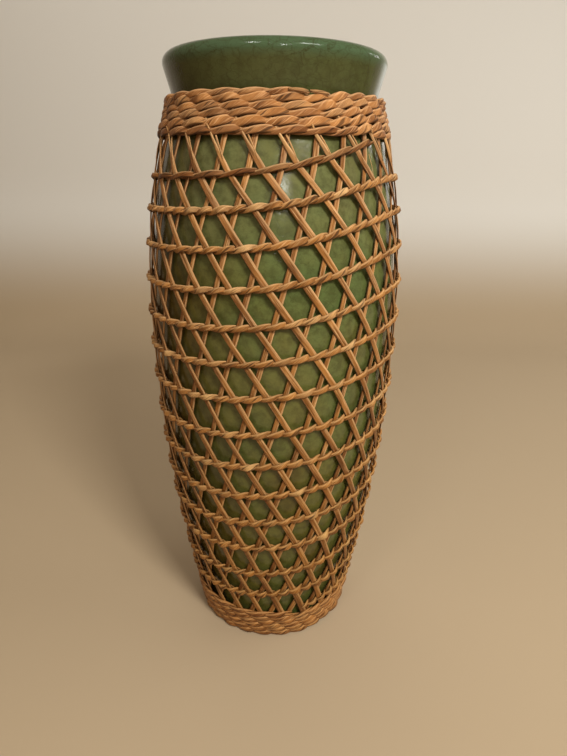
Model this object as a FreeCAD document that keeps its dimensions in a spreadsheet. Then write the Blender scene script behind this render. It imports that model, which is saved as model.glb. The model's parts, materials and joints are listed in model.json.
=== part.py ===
import FreeCAD, Part
import math
import os

import Sketcher
from FreeCAD import Vector

# A tall stoneware vase in a jacket of split cane, woven on the vase itself.
# Twenty-five splints lean one way and twenty-six the other, and a twined pair of weft strands
# winds down over them as one spiral, from a close collar under the rim to a close band at the foot.
# Origin: the middle of the foot ring, on the surface the vase stands on, with Z up.

# Driving dimensions, in millimetres, degrees and counts
VASE_SIZES = (
    ("overall_height", 306.0, "foot ring to the top of the lip"),
    ("flare_height", 24.1, "top of the lip down to the hollow of the neck"),
    ("shoulder_drop", 55.9, "neck down to where the tighter shoulder curve starts"),
    ("belly_drop", 36.0, "from there down to the widest place"),
    ("belly_radius", 62.3, "stoneware at its widest"),
    ("lower_curve_radius", 816.0, "upright curve below the belly"),
    ("foot_cone_height", 40.0, "top of the straight cone above the foot"),
    ("belly_curve_radius", 388.0, "upright curve just above the belly"),
    ("shoulder_curve_radius", 250.0, "upright curve of the shoulder"),
    ("neck_hollow_radius", 12.0, "hollow between shoulder and flared rim"),
    ("rim_radius", 52.3, "widest place of the lip"),
    ("lip_radius", 3.0, "round of the lip"),
    ("wall_thickness", 4.2, "stoneware wall"),
    ("shoulder_break_rise", 32.0, "inside, a break in the wall above where the shoulder curve starts"),
    ("waist_break_rise", 75.0, "inside, a break in the wall above the foot's cone"),
    ("floor_thickness", 8.0, "stoneware floor, from the foot ring's face"),
    ("foot_ring_width", 6.0, "bare ring that the vase stands on"),
    ("foot_ring_depth", 3.0, "hollow inside the foot ring"),
)
JACKET_SIZES = (
    ("jacket_clearance", 0.3, "stoneware to the back weft strand"),
    ("weft_clearance", 0.12, "weft strand to the splint it grips"),
    ("bend_clearance", 0.25, "more room where the front strand bends over a splint"),
    ("crossing_clearance", 0.3, "inner splints to outer splints"),
    ("back_strand_thickness", 0.7, "weft strand behind the splints"),
    ("front_strand_thickness", 1.1, "weft strand before the splints"),
    ("weft_width", 2.5, "height of a weft strand on the wall"),
    ("splint_thickness", 0.7, "split cane, through its thickness"),
    ("outer_splint_width", 2.8, "splints that lean down to the right"),
    ("inner_splint_width", 2.5, "splints that lean down to the left"),
    ("collar_rise", 5.5, "upper edge of the close collar above where the neck turns hollow"),
    ("collar_height", 18.2, "close collar, from edge to edge"),
    ("weft_start_drop", 10.7, "collar's upper edge down to where the open weft starts in front"),
    ("base_band_top_height", 20.0, "upper edge of the close band at the foot"),
    ("base_band_bottom_height", 1.0, "lower edge of the close band, clear of the ground"),
    ("close_row_clearance", 0.25, "between two rows of a close band"),
    ("tuck_length", 1.5, "splint ends short of the foot band's lower edge"),
    ("collar_tuck_length", 5.6, "splint ends short of the collar's upper edge, where the neck turns hollow"),
)
VASE_COUNTS = (
    ("vase_flats", 38.0, "flats round the vase, each within 0.22 mm of the round"),
    ("lower_curve_steps", 4.0, "straight steps up the curve below the belly"),
    ("belly_curve_steps", 2.0, "straight steps up the curve above the belly"),
    ("shoulder_curve_steps", 3.0, "straight steps up the shoulder"),
    ("neck_hollow_steps", 2.0, "straight steps round the hollow of the neck"),
    ("lip_steps", 3.0, "straight steps up each side of the lip"),
    ("band_flats", 22.0, "flats round one turn of a close band"),
)
WEAVE_COUNTS = (
    ("outer_splints", 25.0, "splints that lean down to the right"),
    ("open_rows", 14.0, "turns of the open weft"),
    ("collar_rows", 6.0, "turns of the collar"),
    ("base_rows", 6.0, "turns of the band at the foot"),
)
WEAVE_ANGLES = (
    ("weave_start_angle", 0.83, "azimuth of the first outer splint on the first row"),
    ("row_step_angle", 33.0, "azimuth where the spiral steps down a row"),
    ("band_step_angle", 36.0, "how far round a close band takes to step down a row"),
    ("early_rise_angle", 58.0, "azimuth where the upper rows are held high"),
    ("drift_angle", 0.5, "turn of the whole lattice to the right in each row"),
    ("foot_drift_angle", 17.4, "turn back to the left by the foot"),
)

# Shares of the sizes above, and what the solving takes
SPLINT_CROWN_SHARE = 0.8
STRAND_CROWN_SHARE = 0.55
RIDGE_SHARE = 0.0
HALF_SHARE = 0.5
FOOT_DRIFT_POWER = 3
LEAN_SHARE = 0.675
ROW_STEP_SHARES = (1.3, 0.175)
EARLY_RISE_SHARE = 0.29
EARLY_RISE_SHARPNESS = 20
EARLY_RISE_FADE_SHARES = (4.0 / 14.0, 8.0 / 14.0)
ROW_GAP_SHARES = (1.20, 0.82, 0.93, 1.01, 0.98, 0.98, 1.00, 1.11, 1.04, 1.03, 1.02, 1.02, 1.12, 0.98, 0.95)
SEARCH_ROWS = 3
CLOSE = 1e-6
SOLVER_ROUNDS = 40
FULL_TURN = 360.0
QUARTER_TURN = 90.0
NECK_LEVEL = "(Dimensions.overall_height - Dimensions.flare_height)"
SHOULDER_LEVEL = "(%s - Dimensions.shoulder_drop)" % NECK_LEVEL
BELLY_LEVEL = "(%s - Dimensions.belly_drop)" % SHOULDER_LEVEL


def new_sheet(document):
    """The spreadsheet of driving dimensions, each cell with its alias."""
    sheet = document.addObject("Spreadsheet::Sheet", "Dimensions")
    row = 1
    for group in (VASE_SIZES, VASE_COUNTS, JACKET_SIZES, WEAVE_COUNTS, WEAVE_ANGLES):
        for alias, value, note in group:
            sheet.set("A%d" % row, note)
            sheet.set("B%d" % row, str(value))
            sheet.setAlias("B%d" % row, alias)
            row += 1
    document.recompute()
    return sheet


class Sizes:
    """Reads the sheet's cells by their aliases."""

    def __init__(self, sheet):
        self.sheet = sheet

    def __getattr__(self, alias):
        return float(self.sheet.get(alias))


class Wall:
    """The upright outline of the stoneware's outside, and what is offset from it.

    Angles are those of the outward normal above the horizontal. The outline is a cone above the
    foot and three arcs, each tangent to the next, then the hollow of the neck and the flared rim.
    """

    def __init__(self, size):
        self.size = size
        self.neck_height = size.overall_height - size.flare_height
        self.shoulder_height = self.neck_height - size.shoulder_drop
        self.belly_height = self.shoulder_height - size.belly_drop
        self.cone_angle = math.asin((size.foot_cone_height - self.belly_height) / size.lower_curve_radius)
        self.shoulder_angle = math.asin(size.belly_drop / size.belly_curve_radius)
        self.lower_centre = (size.belly_radius - size.lower_curve_radius, self.belly_height)
        self.belly_centre = (size.belly_radius - size.belly_curve_radius, self.belly_height)
        shoulder = self.on_arc(self.belly_centre, size.belly_curve_radius, self.shoulder_angle)
        self.shoulder_centre = self.on_arc(shoulder, -size.shoulder_curve_radius, self.shoulder_angle)
        rise = (self.neck_height - self.shoulder_centre[1]) / size.shoulder_curve_radius
        self.neck_angle = math.asin(rise)
        neck = self.on_arc(self.shoulder_centre, size.shoulder_curve_radius, self.neck_angle)
        self.neck_centre = self.on_arc(neck, size.neck_hollow_radius, self.neck_angle)
        self.lip_centre = (size.rim_radius - size.lip_radius, size.overall_height - size.lip_radius)
        across = self.neck_centre[0] - self.lip_centre[0]
        along = self.neck_centre[1] - self.lip_centre[1]
        reach = math.hypot(across, along)
        lean = math.acos((size.neck_hollow_radius + size.lip_radius) / reach)
        self.flare_angle = math.atan2(along, across) + lean

    @staticmethod
    def on_arc(centre, radius, angle):
        return (centre[0] + radius * math.cos(angle), centre[1] + radius * math.sin(angle))

    def normal_angle(self, height):
        size = self.size
        if height < size.foot_cone_height:
            return self.cone_angle
        if height < self.belly_height:
            return math.asin((height - self.belly_height) / size.lower_curve_radius)
        if height < self.shoulder_height:
            return math.asin((height - self.belly_height) / size.belly_curve_radius)
        if height < self.neck_height:
            return math.asin((height - self.shoulder_centre[1]) / size.shoulder_curve_radius)
        return math.asin((self.neck_centre[1] - height) / size.neck_hollow_radius)

    def radius(self, height):
        size = self.size
        angle = self.normal_angle(height)
        if height < size.foot_cone_height:
            top = self.on_arc(self.lower_centre, size.lower_curve_radius, angle)
            return top[0] - (size.foot_cone_height - height) * math.tan(-angle)
        if height < self.belly_height:
            return self.on_arc(self.lower_centre, size.lower_curve_radius, angle)[0]
        if height < self.shoulder_height:
            return self.on_arc(self.belly_centre, size.belly_curve_radius, angle)[0]
        if height < self.neck_height:
            return self.on_arc(self.shoulder_centre, size.shoulder_curve_radius, angle)[0]
        return self.on_arc(self.neck_centre, -size.neck_hollow_radius, angle)[0]

    def frame(self, turns, height):
        """The place on the wall, with its outward normal and its up direction along the wall."""
        around = 2.0 * math.pi * turns
        out = Vector(math.sin(around), -math.cos(around), 0.0)
        angle = self.normal_angle(height)
        place = out * self.radius(height) + Vector(0.0, 0.0, height)
        normal = out * math.cos(angle) + Vector(0.0, 0.0, math.sin(angle))
        upward = Vector(0.0, 0.0, math.cos(angle)) - out * math.sin(angle)
        return place, normal, upward


class Weave:
    """Where the splints and the spiral weft run, in turns of azimuth and in rows down from the collar.

    The weft is one spiral, so a full turn to the right is also one row up. A row number counts
    along a row line, and a depth is the number of rows straight down from the collar in front.
    """

    def __init__(self, size, wall):
        self.size = size
        self.collar_top = wall.neck_height + size.collar_rise
        self.collar_bottom = self.collar_top - size.collar_height
        self.outer_count = int(size.outer_splints)
        self.inner_count = self.outer_count + 1
        self.per_turn = self.outer_count + LEAN_SHARE
        self.outer_lean = LEAN_SHARE / self.per_turn
        self.inner_lean = (1.0 - LEAN_SHARE) / self.per_turn
        self.start = size.weave_start_angle / FULL_TURN
        self.level = 0.0
        self.level = self.winding(0.0)
        drop = self.collar_top - size.weft_start_drop - size.base_band_top_height
        self.pitch = drop / sum(ROW_GAP_SHARES)
        gaps = [self.pitch * share for share in ROW_GAP_SHARES]
        self.row_heights = [size.base_band_top_height + drop - sum(gaps[:row]) for row in range(len(gaps) + 1)]

    def winding(self, turns):
        """How many rows higher the weft is here than in front, mostly gained at the step."""
        once, twice = ROW_STEP_SHARES
        angle = 2.0 * math.pi * (turns - self.size.row_step_angle / FULL_TURN)
        wave = once * math.sin(angle) + twice * math.sin(angle + angle)
        return turns + wave / (2.0 * math.pi) - self.level

    def early_rise(self, turns, depth):
        """The upper rows stay high a while longer to the right of the step."""
        full, none = (share * self.size.open_rows for share in EARLY_RISE_FADE_SHARES)
        fade = min(1.0, max(0.0, (none - depth) / (none - full)))
        angle = 2.0 * math.pi * (turns - self.size.early_rise_angle / FULL_TURN)
        bump = math.cos(HALF_SHARE * angle) ** EARLY_RISE_SHARPNESS
        return EARLY_RISE_SHARE * self.pitch * bump * fade

    def height(self, turns, depth):
        last = len(self.row_heights) - 2
        row = max(0, min(last, int(math.floor(depth))))
        part = depth - row
        plain = self.row_heights[row] * (1.0 - part) + self.row_heights[row + 1] * part
        return plain + self.early_rise(turns, depth)

    def depth(self, turns, height):
        """The depth at which the weave reaches a height, by halving."""
        high, low = float(-SEARCH_ROWS), float(len(self.row_heights) + SEARCH_ROWS)
        for _ in range(SOLVER_ROUNDS):
            middle = 0.5 * (high + low)
            if self.height(turns, middle) > height:
                high = middle
            else:
                low = middle
        return 0.5 * (high + low)

    def drift(self, depth):
        rows = self.size.open_rows + 1.0
        back = self.size.foot_drift_angle * (depth / rows) ** FOOT_DRIFT_POWER
        return (self.size.drift_angle * depth - back) / FULL_TURN

    def line_at_row(self, first, lean, row):
        """A splint's azimuth and depth where it meets a row line."""
        turns = first + lean * row
        for _ in range(SOLVER_ROUNDS):
            turns = first + lean * row + self.drift(row - self.winding(turns))
        return turns, row - self.winding(turns)

    def line_at_height(self, first, lean, height):
        """A splint's azimuth and row number at a height."""
        turns = first
        row = 0.0
        for _ in range(SOLVER_ROUNDS):
            depth = self.depth(turns, height)
            row = depth + self.winding(turns)
            turns = first + lean * row + self.drift(depth)
        return turns, row

    def splint_route(self, first, lean):
        """Azimuth and height of each station of a splint: its ends, the bands' edges and every row."""
        size = self.size
        top = self.collar_top - size.collar_tuck_length
        bottom = size.base_band_bottom_height + size.tuck_length
        route = []
        for end, edge in ((top, self.collar_bottom), (bottom, size.base_band_top_height)):
            for height in (end, edge):
                turns, row = self.line_at_height(first, lean, height)
                route.append((turns, height, row))
        first_row = int(math.ceil(route[1][2]))
        last_row = int(math.floor(route[3][2]))
        for number in range(first_row, last_row + 1):
            turns, depth = self.line_at_row(first, lean, float(number))
            height = self.height(turns, depth)
            spare = size.weft_width
            if size.base_band_top_height + spare < height < self.collar_bottom - spare:
                route.append((turns, height, float(number)))
        route.sort(key=lambda station: station[2])
        return [(turns, height) for turns, height, row in route]

    def weft_route(self):
        """Azimuth and height of the open weft where it crosses each outer splint, from the top down."""
        size = self.size
        half = 0.5 * size.weft_width + size.close_row_clearance
        route = []
        first = -SEARCH_ROWS * self.outer_count
        last = int(self.per_turn * (size.open_rows + SEARCH_ROWS))
        for step in range(first, last):
            turns, depth = self.line_at_row(self.start - step / self.per_turn, self.outer_lean, 0.0)
            height = self.height(turns, depth)
            if size.base_band_top_height + half < height < self.collar_bottom - half:
                route.append((turns, height))
        return route

    def close_route(self, top, bottom, rows):
        """Azimuth and height of a close band's strand, one spiral of so many rows from top to bottom.

        A row runs level, and steps down to the next one just before its turn is full.
        """
        size = self.size
        row_height = (top - bottom) / rows
        step_turns = size.band_step_angle / FULL_TURN
        begin = size.row_step_angle / FULL_TURN - 0.5 * step_turns
        count = int(size.band_flats * (rows - step_turns))
        route = []
        for step in range(count + 1):
            wound = step / size.band_flats
            row = math.floor(wound)
            stepped = max(0.0, wound - row - 1.0 + step_turns) / step_turns
            route.append((begin - wound, top - (0.5 + row + stepped) * row_height))
        return route


def flat_face(*corners):
    return Part.Face(Part.makePolygon([*corners, corners[0]]))


def solid_through(sections):
    """A solid through sections of as many corners each, its ends and its sides flat."""
    faces = [flat_face(*sections[0]), flat_face(*sections[-1])]
    for section, after in zip(sections, sections[1:]):
        for corner in range(len(section)):
            following = (corner + 1) % len(section)
            faces.append(flat_face(section[corner], section[following], after[following]))
            faces.append(flat_face(section[corner], after[following], after[corner]))
    return Part.makeSolid(Part.makeShell(faces))


class Loom:
    """Turns routes on the wall into solid splints and strands."""

    def __init__(self, size, wall, weave):
        self.size = size
        self.wall = wall
        self.weave = weave
        self.back_face = size.jacket_clearance
        self.inner_face = self.back_face + size.back_strand_thickness + size.weft_clearance
        self.outer_face = self.inner_face + size.splint_thickness + size.crossing_clearance
        self.front_face = self.outer_face + size.splint_thickness + size.weft_clearance + size.bend_clearance

    def splint(self, first, lean, face, width, crown_share):
        """A split cane set square to its run at each station, its crown out and a little narrower."""
        route = self.weave.splint_route(first, lean)
        frames = [self.wall.frame(turns, height) for turns, height in route]
        sections = []
        for index, (place, normal, _) in enumerate(frames):
            before = frames[max(index - 1, 0)][0]
            after = frames[min(index + 1, len(frames) - 1)][0]
            run = after - before
            run = run - normal * run.dot(normal)
            run.normalize()
            side = normal.cross(run) * (0.5 * width)
            flat = place + normal * face
            top = flat + normal * self.size.splint_thickness
            crown = side * crown_share
            sections.append((flat - side, flat + side, top + crown, top - crown) if crown_share else
                            (flat - side, flat + side, top))
        return solid_through(sections)

    def strand(self, route, face, rise, width, crown_share):
        """A strand on a route, its flat side towards the splints, its crown away from them.

        The face is where its bends stand, and the rise is how far it stands out from there.
        """
        sections = []
        for turns, height in route:
            place, normal, upward = self.wall.frame(turns, height)
            flat = place + normal * face(height)
            top = flat + normal * rise
            half = upward * (0.5 * width)
            crown = half * crown_share
            sections.append((flat - half, flat + half, top + crown, top - crown) if crown_share else
                            (flat - half, flat + half, top))
        return solid_through(sections)

    def bulge(self, height, runs):
        """How far a strand's bends stand out past the middles of its straight runs, so many in a turn."""
        return self.wall.radius(height) * (1.0 / math.cos(math.pi / runs) - 1.0)

    def front_bend(self, height):
        """The front strand bends over each outer splint."""
        return self.front_face

    def back_bend(self, height):
        """The back strand's straight runs pass close behind the inner splints."""
        return self.back_face + self.size.back_strand_thickness + self.bulge(height, self.weave.per_turn)

    def close_bend(self, height):
        """A close band's bends fall anywhere, so its straight runs stay clear of the outer splints."""
        return self.front_face - self.size.bend_clearance + self.bulge(height, self.size.band_flats)


class Outline:
    """Draws a closed sketch edge by edge, joining each edge to the last one."""

    START, END, CENTRE = range(1, 4)

    def __init__(self, sketch):
        self.sketch = sketch
        self.first = None
        self.last = None
        self.runs = []

    def join(self, edge, entry, leave, smooth, steps=1):
        if self.last is None:
            self.first = (edge, entry)
        else:
            self.tie("Tangent" if smooth else "Coincident", *self.last, edge, entry)
        self.last = (edge, leave)
        self.runs.append((edge, entry == self.START, steps))
        return edge

    def line(self, start, end, smooth=False):
        segment = Part.LineSegment(Vector(start[0], start[1], 0.0), Vector(end[0], end[1], 0.0))
        return self.join(self.sketch.addGeometry(segment, False), self.START, self.END, smooth)

    def arc(self, centre, radius, begin, end, steps, smooth=True):
        """An arc travelled from one angle to the other, either way round."""
        circle = Part.Circle(Vector(centre[0], centre[1], 0.0), Vector(0.0, 0.0, 1.0), radius)
        edge = self.sketch.addGeometry(Part.ArcOfCircle(circle, min(begin, end), max(begin, end)), False)
        if begin < end:
            return self.join(edge, self.START, self.END, smooth, int(steps))
        return self.join(edge, self.END, self.START, smooth, int(steps))

    def close(self):
        self.tie("Coincident", *self.last, *self.first)

    def walk(self, first, last):
        """Points along the solved outline from one edge to another, a curve in its straight steps."""
        points = []
        for edge, forward, steps in self.runs[first:last + 1]:
            curve = self.sketch.Geometry[edge]
            ends = (curve.FirstParameter, curve.LastParameter)
            begin, end = ends if forward else reversed(ends)
            points += [curve.value(begin + (end - begin) * step / steps) for step in range(steps + 1)]
        return [point for point, after in zip(points, points[1:]) if not point.isEqual(after, CLOSE)] + points[-1:]

    def tie(self, kind, *where):
        return self.sketch.addConstraint(Sketcher.Constraint(kind, *where))

    def fix(self, kind, name, expression, *where):
        """A dimension of the sketch, bound to an expression on the sheet."""
        value = self.sketch.evalExpression(expression)
        number = self.tie(kind, *where, float(getattr(value, "Value", value)))
        self.sketch.renameConstraint(number, name)
        self.sketch.setExpression("Constraints." + name, expression)

    def set_in(self, name, arc, arc_end, inner, inner_end):
        """Puts a corner of the inside one wall thickness in from an arc's end, square to the arc."""
        centre = self.sketch.getPoint(arc, self.CENTRE)
        place = self.sketch.getPoint(arc, arc_end)
        spoke = self.sketch.addGeometry(Part.LineSegment(centre, place), True)
        self.tie("Coincident", spoke, self.START, arc, self.CENTRE)
        self.tie("Coincident", spoke, self.END, arc, arc_end)
        self.tie("PointOnObject", inner, inner_end, spoke)
        self.fix("Distance", name, "Dimensions.wall_thickness", inner, inner_end, arc, arc_end)


def draw_vase_outline(sketch, size, wall):
    """The outline of the stoneware: out under the foot ring, up, over the lip and down the inside."""
    cone, shoulder, neck, flare = wall.cone_angle, wall.shoulder_angle, wall.neck_angle, wall.flare_angle
    half_turn = math.pi
    quarter = 0.5 * half_turn
    inset = -size.wall_thickness
    on_arc = Wall.on_arc
    cone_top = on_arc(wall.lower_centre, size.lower_curve_radius, cone)
    foot = (wall.radius(0.0), 0.0)
    bend = on_arc(wall.belly_centre, size.belly_curve_radius, shoulder)
    collar = on_arc(wall.shoulder_centre, size.shoulder_curve_radius, neck)
    hollow_out = on_arc(wall.neck_centre, -size.neck_hollow_radius, flare)
    lip_out = on_arc(wall.lip_centre, size.lip_radius, flare)
    lip_in = on_arc(wall.lip_centre, size.lip_radius, half_turn)
    inner_neck = on_arc(collar, inset, neck)
    inner_bend = on_arc(bend, inset, shoulder)
    inner_belly = (size.belly_radius + inset, wall.belly_height)
    inner_cone = on_arc(cone_top, inset, cone)
    shoulder_reach = size.shoulder_curve_radius + inset
    break_level = wall.shoulder_height + size.shoulder_break_rise
    break_angle = math.asin((break_level - wall.shoulder_centre[1]) / shoulder_reach)
    shoulder_break = on_arc(wall.shoulder_centre, shoulder_reach, break_angle)
    lower_reach = size.lower_curve_radius + inset
    waist_drop = wall.belly_height - size.foot_cone_height - size.waist_break_rise
    waist_angle = math.asin(-waist_drop / lower_reach)
    waist_break = on_arc(wall.lower_centre, lower_reach, waist_angle)
    floor_drop = inner_cone[1] - size.floor_thickness
    floor_corner = (inner_cone[0] - floor_drop * math.tan(-cone), size.floor_thickness)
    recess_corner = (foot[0] - size.foot_ring_width, size.foot_ring_depth)

    draw = Outline(sketch)
    ring_wall = draw.line(recess_corner, (recess_corner[0], 0.0))
    ring = draw.line((recess_corner[0], 0.0), foot)
    foot_cone = draw.line(foot, cone_top)
    lower = draw.arc(wall.lower_centre, size.lower_curve_radius, cone, 0.0, size.lower_curve_steps)
    upper = draw.arc(wall.belly_centre, size.belly_curve_radius, 0.0, shoulder, size.belly_curve_steps)
    shoulders = draw.arc(
        wall.shoulder_centre, size.shoulder_curve_radius, shoulder, neck, size.shoulder_curve_steps
    )
    hollow = draw.arc(
        wall.neck_centre, size.neck_hollow_radius, neck + half_turn, flare + half_turn, size.neck_hollow_steps
    )
    draw.line(hollow_out, lip_out, smooth=True)
    lip = draw.arc(wall.lip_centre, size.lip_radius, flare, quarter, size.lip_steps)
    lip_inside = draw.arc(wall.lip_centre, size.lip_radius, quarter, half_turn, size.lip_steps, smooth=False)
    draw.line(lip_in, inner_neck)
    inner_shoulder = draw.line(inner_neck, shoulder_break)
    inner_upper = draw.line(shoulder_break, inner_bend)
    inner_belly_line = draw.line(inner_bend, inner_belly)
    inner_lower = draw.line(inner_belly, waist_break)
    draw.line(waist_break, inner_cone)
    inner_foot = draw.line(inner_cone, floor_corner)
    floor = draw.line(floor_corner, (0.0, size.floor_thickness))
    axis = draw.line((0.0, size.floor_thickness), (0.0, size.foot_ring_depth))
    recess = draw.line((0.0, size.foot_ring_depth), recess_corner)
    draw.close()

    start, end, centre = Outline.START, Outline.END, Outline.CENTRE
    x_axis, y_axis, origin = -1, -2, (-1, start)
    for edge in (floor, recess, ring):
        draw.tie("Horizontal", edge)
    for edge in (axis, ring_wall):
        draw.tie("Vertical", edge)
    draw.tie("Parallel", inner_foot, foot_cone)
    draw.tie("PointOnObject", axis, start, y_axis)
    draw.tie("PointOnObject", ring, end, x_axis)
    draw.tie("Horizontal", lower, centre, lower, end)
    draw.tie("Vertical", lip, centre, lip, end)
    draw.tie("Coincident", lip, centre, lip_inside, centre)
    draw.tie("Horizontal", lip_inside, centre, lip_inside, end)
    draw.fix("Radius", "lower_curve", "Dimensions.lower_curve_radius", lower)
    draw.fix("Radius", "belly_curve", "Dimensions.belly_curve_radius", upper)
    draw.fix("Radius", "shoulder_curve", "Dimensions.shoulder_curve_radius", shoulders)
    draw.fix("Radius", "neck_hollow", "Dimensions.neck_hollow_radius", hollow)
    draw.fix("Radius", "lip_round", "Dimensions.lip_radius", lip)
    draw.fix("DistanceX", "belly_reach", "Dimensions.belly_radius", *origin, lower, end)
    draw.fix("DistanceY", "belly_level", BELLY_LEVEL, *origin, lower, end)
    draw.fix("DistanceY", "cone_level", "Dimensions.foot_cone_height", *origin, lower, start)
    draw.fix("DistanceY", "shoulder_level", SHOULDER_LEVEL, *origin, upper, end)
    draw.fix("DistanceY", "neck_level", NECK_LEVEL, *origin, shoulders, end)
    draw.fix("DistanceX", "lip_reach", "Dimensions.rim_radius - Dimensions.lip_radius", *origin, lip, centre)
    draw.fix("DistanceY", "lip_level", "Dimensions.overall_height - Dimensions.lip_radius", *origin, lip, centre)
    draw.set_in("neck_wall", shoulders, end, inner_shoulder, start)
    draw.set_in("bend_wall", upper, end, inner_belly_line, start)
    draw.set_in("belly_wall", lower, end, inner_lower, start)
    draw.set_in("cone_wall", lower, start, inner_foot, start)
    shoulder_inside = "Dimensions.shoulder_curve_radius - Dimensions.wall_thickness"
    lower_inside = "Dimensions.lower_curve_radius - Dimensions.wall_thickness"
    draw.fix("Distance", "shoulder_break_wall", shoulder_inside, shoulders, centre, inner_upper, start)
    shoulder_break_level = SHOULDER_LEVEL + " + Dimensions.shoulder_break_rise"
    draw.fix("DistanceY", "shoulder_break_level", shoulder_break_level, *origin, inner_upper, start)
    draw.fix("Distance", "waist_break_wall", lower_inside, lower, centre, inner_lower, end)
    waist_level = "Dimensions.foot_cone_height + Dimensions.waist_break_rise"
    draw.fix("DistanceY", "waist_break_level", waist_level, *origin, inner_lower, end)
    draw.fix("DistanceY", "floor_level", "Dimensions.floor_thickness", *origin, floor, end)
    draw.fix("DistanceY", "recess_level", "Dimensions.foot_ring_depth", *origin, recess, start)
    draw.fix("DistanceX", "ring_reach", "Dimensions.foot_ring_width", ring, start, ring, end)
    sketch.Document.recompute()
    return draw.walk(ring_wall, inner_foot)


def ring_of_corners(size, point):
    """The corners of a level polygon round the axis, as far out and as high as an outline's point."""
    flats = int(size.vase_flats)
    angles = [2.0 * math.pi * flat / flats for flat in range(flats + 1)]
    return [Vector(point.x * math.cos(angle), point.x * math.sin(angle), point.y) for angle in angles]


def make_vase(document, size, wall):
    """The stoneware vase: its outline carried round in flats, closed by its floor, above and below."""
    sketch = document.addObject("Sketcher::SketchObject", "VaseOutline")
    sketch.Placement = FreeCAD.Placement(Vector(), FreeCAD.Rotation(Vector(1.0, 0.0, 0.0), QUARTER_TURN))
    rings = [ring_of_corners(size, point) for point in draw_vase_outline(sketch, size, wall)]
    faces = [flat_face(*rings[0][:-1]), flat_face(*rings[-1][:-1])]
    for ring, after in zip(rings, rings[1:]):
        for side in range(len(ring) - 1):
            faces.append(flat_face(ring[side], ring[side + 1], after[side + 1], after[side]))
    return make_piece(document, "vase", Part.makeSolid(Part.makeShell(faces)))


def make_piece(document, label, shape):
    """A piece of the vase or its jacket, as a feature with a shape of its own."""
    piece = document.addObject("Part::Feature", label)
    piece.Label = label
    piece.Shape = shape
    return piece


def make_splints(document, size, weave, loom):
    """Twenty-five outer splints that lean down to the right, over twenty-six that lean to the left."""
    pieces = []
    for number in range(weave.outer_count):
        first = weave.start + number / weave.per_turn
        shape = loom.splint(
            first, weave.outer_lean, loom.outer_face, size.outer_splint_width, SPLINT_CROWN_SHARE
        )
        pieces.append(make_piece(document, "outer_splint_%02d" % (number + 1), shape))
    for number in range(weave.inner_count):
        first = weave.start + (number + 0.5) / weave.per_turn
        shape = loom.splint(first, -weave.inner_lean, loom.inner_face, size.inner_splint_width, RIDGE_SHARE)
        pieces.append(make_piece(document, "inner_splint_%02d" % (number + 1), shape))
    return pieces


def make_open_weft(document, size, weave, loom):
    """The twined pair that winds down the wall, one strand before the splints and one behind."""
    route = weave.weft_route()
    width = size.weft_width
    front = loom.strand(route, loom.front_bend, size.front_strand_thickness, width, STRAND_CROWN_SHARE)
    back = loom.strand(route, loom.back_bend, -size.back_strand_thickness, width, RIDGE_SHARE)
    return [
        make_piece(document, "weft_front_strand", front),
        make_piece(document, "weft_back_strand", back),
    ]


def make_close_bands(document, size, weave, loom):
    """The close rows of the collar and of the band at the foot, each one spiral strand."""
    pieces = []
    bands = (
        ("collar_strand", weave.collar_top, weave.collar_bottom, size.collar_rows),
        ("base_band_strand", size.base_band_top_height, size.base_band_bottom_height, size.base_rows),
    )
    for label, top, bottom, rows in bands:
        route = weave.close_route(top, bottom, rows)
        width = (top - bottom) / rows - size.close_row_clearance
        strand = loom.strand(route, loom.close_bend, size.front_strand_thickness, width, RIDGE_SHARE)
        pieces.append(make_piece(document, label, strand))
    return pieces


def check(document, pieces):
    """Stops if any object failed, or any piece isn't one sound solid."""
    document.recompute()
    for thing in document.Objects:
        if "Invalid" in thing.State or "Error" in thing.State:
            raise RuntimeError("%s failed: %s" % (thing.Label, thing.State))
    for piece in pieces:
        shape = piece.Shape
        if shape.isNull() or not shape.isValid() or shape.Volume <= 0.0:
            raise RuntimeError("%s has no sound solid" % piece.Label)


def main():
    document = FreeCAD.newDocument("BambooVase")
    size = Sizes(new_sheet(document))
    wall = Wall(size)
    weave = Weave(size, wall)
    loom = Loom(size, wall, weave)
    pieces = [make_vase(document, size, wall)]
    pieces += make_splints(document, size, weave, loom)
    pieces += make_open_weft(document, size, weave, loom)
    pieces += make_close_bands(document, size, weave, loom)
    check(document, pieces)
    os.makedirs("parts", exist_ok=True)
    for piece in pieces:
        piece.Shape.exportStep("parts/%s.step" % piece.Label)
    print("%d pieces" % len(pieces))


main()
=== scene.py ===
"""A tall stoneware vase in a jacket of split cane, woven on the vase itself.

The vase is spun from the outline of its wall. The jacket follows the same weave as the solids: two
families of splints that cross, and twined pairs of strands that wind round over them.
"""

import json
import logging
import math
from dataclasses import dataclass
from enum import Enum
from math import asin, cos, sin
from typing import Any, Callable, Sequence, Union

import bmesh
import bpy
from mathutils import Matrix, Vector, noise

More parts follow.
